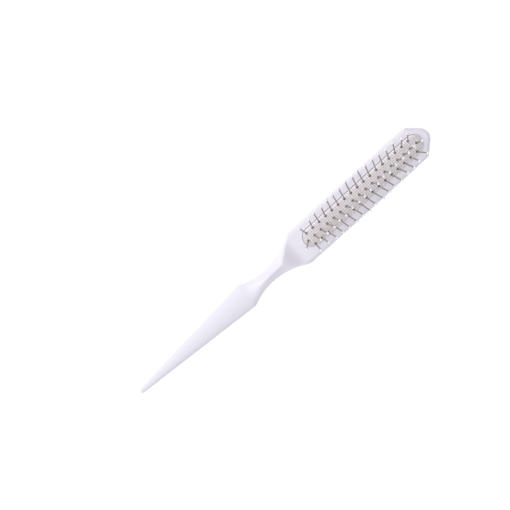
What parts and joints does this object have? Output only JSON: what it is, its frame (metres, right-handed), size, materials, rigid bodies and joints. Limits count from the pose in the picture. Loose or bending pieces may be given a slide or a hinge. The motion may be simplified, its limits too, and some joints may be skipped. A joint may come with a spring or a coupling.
{
  "type": "cushion pin brush",
  "caption": "Slim hair and wig brush: one-piece plastic handle with a tapered sectioning tail, air cushion, leaning ball-tipped wire pins.",
  "frame": {"origin": "on the resting plane under the back, half way along the brush and in the middle of its width", "axes": "+X from the tail's tip to the nose of the head, +Z the way the pins point, +Y to the left seen from the tail"},
  "size_m": [0.23, 0.0244, 0.0225],
  "materials": {
    "moulded_plastic": "white moulded plastic, soft gloss",
    "cushion_rubber": "brown-grey moulded rubber",
    "woven_facing": "plain-woven cotton bonded on the rubber, warm light grey",
    "pin_wire": "drawn steel wire",
    "ball_nylon": "moulded white balls, glossy"
  },
  "bodies": {
    "handle": {"handle": "moulded_plastic", "rubber_cushion": "cushion_rubber", "facing_cloth": "woven_facing"},
    "pins": {"left_row_pin_01": "pin_wire", "left_row_pin_02": "pin_wire", "left_row_pin_03": "pin_wire", "left_row_pin_04": "pin_wire", "left_row_pin_05": "pin_wire", "left_row_pin_06": "pin_wire", "left_row_pin_07": "pin_wire", "left_row_pin_08": "pin_wire", "left_row_pin_09": "pin_wire", "left_row_pin_10": "pin_wire", "left_row_pin_11": "pin_wire", "left_row_pin_12": "pin_wire", "left_row_pin_13": "pin_wire", "left_row_pin_14": "pin_wire", "left_row_pin_15": "pin_wire", "left_row_pin_16": "pin_wire", "left_row_pin_17": "pin_wire", "middle_row_pin_01": "pin_wire", "middle_row_pin_02": "pin_wire", "middle_row_pin_03": "pin_wire", "middle_row_pin_04": "pin_wire", "middle_row_pin_05": "pin_wire", "middle_row_pin_06": "pin_wire", "middle_row_pin_07": "pin_wire", "middle_row_pin_08": "pin_wire", "middle_row_pin_09": "pin_wire", "middle_row_pin_10": "pin_wire", "middle_row_pin_11": "pin_wire", "middle_row_pin_12": "pin_wire", "middle_row_pin_13": "pin_wire", "middle_row_pin_14": "pin_wire", "middle_row_pin_15": "pin_wire", "middle_row_pin_16": "pin_wire", "middle_row_pin_17": "pin_wire", "middle_row_pin_18": "pin_wire", "right_row_pin_01": "pin_wire", "right_row_pin_02": "pin_wire", "right_row_pin_03": "pin_wire", "right_row_pin_04": "pin_wire", "right_row_pin_05": "pin_wire", "right_row_pin_06": "pin_wire", "right_row_pin_07": "pin_wire", "right_row_pin_08": "pin_wire", "right_row_pin_09": "pin_wire", "right_row_pin_10": "pin_wire", "right_row_pin_11": "pin_wire", "right_row_pin_12": "pin_wire", "right_row_pin_13": "pin_wire", "right_row_pin_14": "pin_wire", "right_row_pin_15": "pin_wire", "right_row_pin_16": "pin_wire", "right_row_pin_17": "pin_wire", "left_row_ball_tips": "ball_nylon", "middle_row_ball_tips": "ball_nylon", "right_row_ball_tips": "ball_nylon"}
  },
  "joints": [
    {"name": "cushion_press", "type": "slide", "parent": "handle", "child": "pins", "axis": [0, 0, -1], "range_m": [0, 0.002], "stiffness_N_per_m": 4000, "deforming": ["rubber_cushion", "facing_cloth"]}
  ]
}
